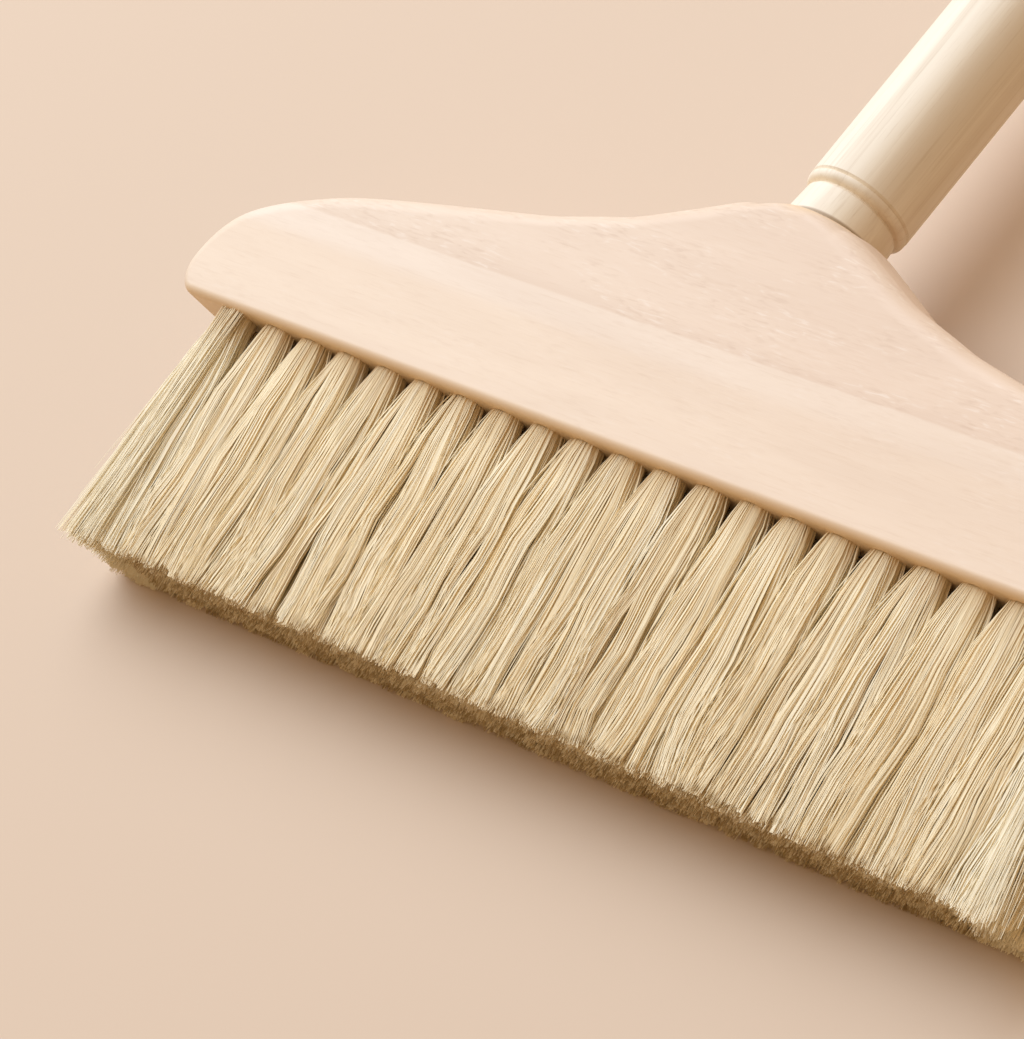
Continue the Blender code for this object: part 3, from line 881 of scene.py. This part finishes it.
def nearest_of(places, centres):
    """The centre nearest to each place, and how near the place is to a border, from 0 to 1."""
    apart = np.sqrt(((places[:, None] - centres[None]) ** 2).sum(2))
    nearest = np.sort(apart, 1)
    edge = (nearest[:, 0] / nearest[:, 1] - EDGE_FROM) / (1.0 - EDGE_FROM)
    return np.argmin(apart, 1), np.clip(edge, 0.0, 1.0)


def tuft_size(middle, below, radius):
    """Half width and half depth of a tuft, from its hole's radius down to its open end."""
    opened = (1.0 - np.exp(-OPENING_RATE * below)) / (1.0 - math.exp(-OPENING_RATE))
    sprung = SPRING[middle] * (1.0 - np.exp(-below / SPRING_FALL))
    wide = radius + sprung + (COLUMN_PITCH * OPEN_WIDTH - radius - OPEN_GAP) * opened
    return wide, radius + (OPEN_DEPTH[middle] - radius) * opened


def opened_out(places, below, wide, deep):
    """Places of a disc down the tuft, which opens wide and flattens in front and behind."""
    boxy = BOXINESS[0] + (BOXINESS[1] - BOXINESS[0]) * np.clip(below / BOXY_FROM, 0.0, 1.0)
    across, out = places.clip(-0.99, 0.99).T
    flat = np.sqrt(1.0 - boxy[None] * (across ** 2)[:, None])
    return np.stack([across[:, None] * wide[None], out[:, None] / flat * deep[None]], 2)


def clump_sway(count, below, random):
    """How whole clumps wander sideways down the tuft."""
    sway = drift(count, below, *CLUMP_LEAN, random)
    for wave in CLUMP_WAVES:
        sway = sway + waves(count, below, *wave, random)
    return sway


def clump_pinch(count, below, at_end, random):
    """How far the hairs of each clump draw together, ring by ring."""
    most = random.uniform(*PINCH, (count, 1)) * (END_PINCH if at_end else 1.0)
    turn = random.uniform(*PINCH_CYCLES, (count, 1)) * below[None] + random.random((count, 1))
    grown = np.clip(below / PINCH_FROM, 0.0, 1.0)[None]
    return most * grown * (0.5 + 0.5 * np.sin(2 * math.pi * turn))


def hair_sway(count, below, random):
    """How single hairs stray from their clump, some of them further than the rest."""
    sway = waves(count, below, *HAIR_WAVE, random)
    for lean in HAIR_LEANS:
        sway = sway + drift(count, below, *lean, random)
    loose = random.random(count) < LOOSE_SHARE
    sway[loose] += drift(int(loose.sum()), below, *LOOSE_LEAN, random)
    return sway


def hair_paths(x, z, bristles, random, side):
    """Paths, tones, outward directions and sizes of one tuft's hairs, on the head's axes."""
    middle = int(z == 0.0)
    at_end = int(side != 0.0)
    hairs = int(bristles.hairs * ROW_HAIRS[middle] * (END_HAIRS if at_end else 1.0))
    clump_at = disc_places(bristles.clumps, random)
    root_at = tuft_places(hairs, z, side, random)
    point_at = disc_places(hairs // HAIRS_PER_POINT, random)
    # Painted shade: edge says how near each hair is to the crevice between clumps, where its tone is darkened
    clump, edge = nearest_of(root_at, clump_at)
    point, _ = nearest_of(root_at, point_at)
    length = bristles.length + ROOT_DEPTH
    depth = ROOT_DEPTH - length * np.linspace(0.0, 1.0, HAIR_RINGS) ** RING_CROWDING
    below = np.clip(-depth / bristles.length, 0.0, 1.0)
    size = tuft_size(middle, below, bristles.tuft_radius)
    centre, spread, tip = (opened_out(at, below, *size) for at in (clump_at, root_at, point_at))
    gather = POINT_GATHER * np.clip((below - POINT_FROM) / (1.0 - POINT_FROM), 0.0, 1.0)
    spread += (tip[point] - spread) * gather[None, :, None]
    own = spread - centre[clump]
    centre = centre + clump_sway(bristles.clumps, below, random)
    own = own * (1.0 - clump_pinch(bristles.clumps, below, at_end, random)[clump])[:, :, None]
    flat = centre[clump] + own + hair_sway(hairs, below, random)
    flat[:, :, 0] += side * END_SHIFT * (1.0 - np.exp(-below / END_SHIFT_FALL))[None]
    flat[:, :, 1] -= np.sign(z) * ROW_LEAN * below[None]

    ragged = 1.0 - np.abs(random.normal(0.0, HAIR_RAGGED, hairs))
    ragged -= random.random(len(point_at))[point] * POINT_RAGGED
    paths = np.empty((hairs, HAIR_RINGS, 3))
    paths[:, :, 0] = x + flat[:, :, 0]
    paths[:, :, 1] = np.where(depth > 0, depth, depth * ragged[:, None])
    paths[:, :, 2] = z + flat[:, :, 1]
    tones = random.normal(MEAN_TONE, CLUMP_TONE, len(clump_at))[clump]
    tones += random.normal(0.0, POINT_TONE, len(point_at))[point]
    # Painted shade: paler tones in the front row, darker ones in the back row
    tones += random.normal(0.0, HAIR_TONE, hairs) + ROW_SHADE_TONE * np.sign(z)
    # Painted light: paler tones for the end columns
    tones += END_LIGHT_TONE * at_end - CREVICE_SHADE_TONE[at_end] * edge ** 2
    facing = root_at * HAIR_TURN[at_end] + np.array([0.0, -1.0 if z < 0.0 else 1.0])
    return paths, np.clip(tones, *TONE_LIMITS), facing, random.uniform(*HAIR_SIZES, hairs)


def wisps(x, side, bristles, random):
    """The same for fine stray hairs, in loose locks, that stand out from the head's end."""
    lock = random.integers(0, WISP_LOCKS, WISPS)
    along = np.linspace(0.0, 1.0, HAIR_RINGS)
    front = random.random(WISP_LOCKS) < WISP_FRONT_SHARE
    z = np.where(front, random.uniform(*WISP_FRONT, WISP_LOCKS), random.uniform(*WISP_BACK, WISP_LOCKS))
    z = z[lock] + random.normal(0.0, WISP_SCATTER, WISPS)
    begin = x + side * random.uniform(*WISP_BEGIN, WISP_LOCKS)[lock]
    begin += random.normal(0.0, WISP_SCATTER, WISPS)
    reach = WISP_REACH + np.minimum(random.gamma(*WISP_SPREAD, WISP_LOCKS), WISP_SPREAD_LIMIT)
    reach = reach[lock] + random.normal(0.0, WISP_REACH_SCATTER, WISPS)
    bow = random.uniform(*WISP_BOW, WISP_LOCKS)[lock]
    length = random.uniform(*WISP_LENGTH, WISP_LOCKS)[lock]
    length = bristles.length * (length - np.abs(random.normal(0.0, WISP_RAGGED, WISPS)))
    short = random.random(WISPS) < WISP_SHORT_SHARE
    length = length * np.where(short, random.uniform(*WISP_SHORT, WISPS), 1.0)
    sway = waves(WISP_LOCKS, along, *LOCK_WAVE, random)[lock] + waves(WISPS, along, *WISP_WAVE, random)
    paths = np.empty((WISPS, HAIR_RINGS, 3))
    paths[:, :, 0] = begin[:, None] + side * reach[:, None] * along[None] ** bow[:, None] + sway[:, :, 0]
    paths[:, :, 1] = WISP_ROOT - (length[:, None] + WISP_ROOT) * along[None]
    paths[:, :, 2] = z[:, None] - WISP_LEAN * np.sign(z)[:, None] * along[None] + sway[:, :, 1]
    facing = np.stack([np.zeros(WISPS), np.where(z > 0.0, 1.0, -1.0)], 1)
    return paths, random.uniform(*WISP_LIGHT_TONES, WISPS), facing, random.uniform(*WISP_SIZES, WISPS)


def keep_off_floor(paths, clearance):
    """Lift hairs that would reach below the ground, in the direction of the head's z."""
    height = paths[:, :, 1] * HEAD_Y.z + paths[:, :, 2] * HEAD_Z.z + HEAD_ORIGIN.z
    lift = np.maximum(0.0, clearance - height) / HEAD_Z.z
    paths[:, :, 2] += lift
    return paths


def prism_points(paths, facing, size, radius, random):
    """Corners of thin tapered prisms along the paths, with one flat side out."""
    hairs, rings, _ = paths.shape
    thick = radius * (1.0 - HAIR_TAPER * np.linspace(0.0, 1.0, rings) ** 3)
    first = np.arctan2(facing[:, 1], facing[:, 0]) - math.pi / HAIR_SIDES
    first += random.normal(0.0, HAIR_TWIST, hairs)
    angle = first[:, None] + np.arange(HAIR_SIDES)[None] * 2 * math.pi / HAIR_SIDES
    around = np.stack([np.cos(angle), np.zeros_like(angle), np.sin(angle)], 2)
    points = paths[:, :, None] + around[:, None] * (size[:, None] * thick[None])[:, :, None, None]
    return points.reshape(-1, 3)


def prism_faces(hairs, rings):
    """Corner numbers of the prisms' sides, of their tips and of their roots."""
    start = (np.arange(hairs) * rings * HAIR_SIDES)[:, None, None]
    ring = (np.arange(rings - 1) * HAIR_SIDES)[None, :, None]
    side = np.arange(HAIR_SIDES)[None, None]
    here = start + ring + side
    there = start + ring + (side + 1) % HAIR_SIDES
    quads = np.stack([here, here + HAIR_SIDES, there + HAIR_SIDES, there], 3).reshape(-1, 4)
    roots = start[:, 0] + side[0]
    return quads, (roots + (rings - 1) * HAIR_SIDES)[:, ::-1], roots


def prism_map(tones, rings):
    """Map places of the same corners: tones across, in thin strips, and length up the map."""
    strip = 1.0 / HAIR_STRIPS
    left = np.floor(tones * HAIR_STRIPS)[:, None] * strip
    across = left + strip * np.linspace(*STRIP_SHARE, HAIR_SIDES + 1)[None]
    share = np.linspace(0.0, 1.0, rings)[None, :, None]
    low, high, here, there = np.broadcast_arrays(
        share[:, :-1], share[:, 1:], across[:, None, :-1], across[:, None, 1:])
    corners = ((here, low), (here, high), (there, high), (there, low))
    places = [np.stack([np.stack(corner, 3) for corner in corners], 3)]
    for up in (1.0 - END_MAP[:, 1], END_MAP[:, 1]):
        places.append(np.stack(np.broadcast_arrays(left + strip * END_MAP[None, :, 0], up), 2))
    return np.concatenate([found.reshape(-1, 2) for found in places])


def hair_mesh(name, paths, tones, facing, size, radius, random):
    """An object of hairs along the paths, with each hair's tone and length on its map."""
    points = prism_points(paths, facing, size, radius, random)
    points = points @ np.array(HEAD_MATRIX.to_3x3()).T + np.array(HEAD_ORIGIN)
    faces = prism_faces(*paths.shape[:2])
    corners = np.concatenate([found.ravel() for found in faces])
    counts = np.concatenate([np.full(len(found), found.shape[1]) for found in faces])
    mesh = bpy.data.meshes.new(name)
    mesh.vertices.add(len(points))
    mesh.vertices.foreach_set("co", points.astype(np.float32).ravel())
    mesh.loops.add(len(corners))
    mesh.loops.foreach_set("vertex_index", corners.astype(np.int32))
    mesh.polygons.add(len(counts))
    mesh.polygons.foreach_set("loop_start", (np.cumsum(counts) - counts).astype(np.int32))
    mesh.update(calc_edges=True)
    layer = mesh.uv_layers.new(name=HAIR_MAP)
    layer.data.foreach_set("uv", prism_map(tones, paths.shape[1]).astype(np.float32).ravel())
    mesh.shade_flat()
    mesh.validate()
    return add_object(name, mesh)


class BROOM_OT_bristles(bpy.types.Operator):
    """Set every tuft of hair, column by column, with stray hairs at both ends"""

    bl_idname = "broom.bristles"
    bl_label = "Bristles"

    def execute(self, context):
        bristles = context.scene.broom_bristles
        material = bristle_hair(bristles)
        random = np.random.default_rng(RANDOM_SEED)
        last = len(COLUMN_PLACES) - 1
        for column, x in enumerate(COLUMN_PLACES):
            side = 1.0 if column == last else -1.0 if column == 0 else 0.0
            parts = [hair_paths(x, z, bristles, random, side) for z in ROW_PLACES]
            if side:
                parts.append(wisps(x, side, bristles, random))
            paths, tones, facing, sizes = (np.concatenate(found) for found in zip(*parts))
            paths = keep_off_floor(paths, 2 * bristles.hair_radius)
            piece = hair_mesh(f"hair_column_{column + 1:02d}", paths, tones, facing, sizes,
                              bristles.hair_radius, random)
            dress(piece, material, "head", "bristle", COLUMN_NODES[column])
        return {"FINISHED"}


# The camera on the head's axes, fitted to the photograph's outlines
CAMERA_PLACE = Vector((0.7929, -0.2550, 0.8428))
CAMERA_TURN = Euler((math.radians(35.1146), math.radians(31.2161), math.radians(37.6173)))
CAMERA_LENS = 203.79
SENSOR_WIDTH = 36.0
KEY_PLACE = Vector((-1.34, 0.35, 2.04))
FLOOR_SIZE = 8.0


class BROOM_OT_stage(bpy.types.Operator):
    """Lay the plain floor, and set the soft light and the camera"""

    bl_idname = "broom.stage"
    bl_label = "Floor, Light and Camera"

    def execute(self, context):
        settings = context.scene.broom_stage
        clear_selection()
        bpy.ops.mesh.primitive_plane_add(size=FLOOR_SIZE, location=(0.0, 0.0, 0.0))
        floor = context.object
        floor.name = "plain_floor"
        apply_place(floor)
        ground = Shader("plain_floor", 0.7)
        ground.feed("Base Color", settings.floor_colour)
        floor.data.materials.append(ground.material)
        key = add_object("key_light", bpy.data.lights.new("key_light", "AREA"))
        key.data.shape = "DISK"
        key.data.size = settings.key_size
        key.data.energy = settings.key_power
        key.data.color = settings.key_colour
        key.location = KEY_PLACE
        key.rotation_euler = (KEY_PLACE - HEAD_ORIGIN).to_track_quat("Z", "Y").to_euler()
        world = bpy.data.worlds.new("soft_room")
        world.use_nodes = True
        nodes = world.node_tree.nodes
        sky = nodes["Background"]
        sky.inputs["Color"].default_value = (*settings.sky_colour, 1.0)
        sky.inputs["Strength"].default_value = settings.sky_strength
        backdrop = nodes.new("ShaderNodeBackground")
        backdrop.inputs["Color"].default_value = (*settings.backdrop_colour, 1.0)
        seen = nodes.new("ShaderNodeLightPath")
        either = nodes.new("ShaderNodeMixShader")
        links = world.node_tree.links
        links.new(seen.outputs["Is Camera Ray"], either.inputs["Fac"])
        links.new(sky.outputs["Background"], either.inputs[1])
        links.new(backdrop.outputs["Background"], either.inputs[2])
        links.new(either.outputs["Shader"], nodes["World Output"].inputs["Surface"])
        context.scene.world = world
        lens = bpy.data.cameras.new("camera")
        lens.sensor_fit = "HORIZONTAL"
        lens.sensor_width = SENSOR_WIDTH
        lens.lens = CAMERA_LENS
        lens.clip_start = 0.01
        camera = add_object("camera", lens)
        camera.matrix_world = HEAD_MATRIX @ Matrix.LocRotScale(CAMERA_PLACE, CAMERA_TURN, None)
        context.scene.camera = camera
        context.scene.view_settings.view_transform = "Standard"
        return {"FINISHED"}


OPERATORS = (BROOM_OT_head, BROOM_OT_pole, BROOM_OT_bristles, BROOM_OT_stage)
SETTINGS = {
    "broom_head": HeadSettings,
    "broom_pole": PoleSettings,
    "broom_bristles": BristleSettings,
    "broom_stage": StageSettings,
}


class BROOM_PT_panel(bpy.types.Panel):
    """Sizes, colours and steps of the broom"""

    bl_idname = "BROOM_PT_panel"
    bl_label = "Indoor Broom"
    bl_space_type = "VIEW_3D"
    bl_region_type = "UI"
    bl_category = "Broom"

    def draw(self, context):
        for key, group in SETTINGS.items():
            box = self.layout.box()
            for name in group.__annotations__:
                box.prop(getattr(context.scene, key), name)
        for step in OPERATORS:
            self.layout.operator(step.bl_idname)


CLASSES = (*SETTINGS.values(), *OPERATORS, BROOM_PT_panel)


def register():
    """Register the classes and their settings."""
    for made in CLASSES:
        bpy.utils.register_class(made)
    for key, group in SETTINGS.items():
        setattr(bpy.types.Scene, key, bpy.props.PointerProperty(type=group))


def unregister():
    """Take the classes and their settings away again."""
    for key in SETTINGS:
        delattr(bpy.types.Scene, key)
    for made in reversed(CLASSES):
        bpy.utils.unregister_class(made)


def main():
    """Build the whole broom and its stage."""
    register()
    bpy.ops.broom.head()
    bpy.ops.broom.pole()
    bpy.ops.broom.bristles()
    bpy.ops.broom.stage()


if __name__ == "__main__":
    main()
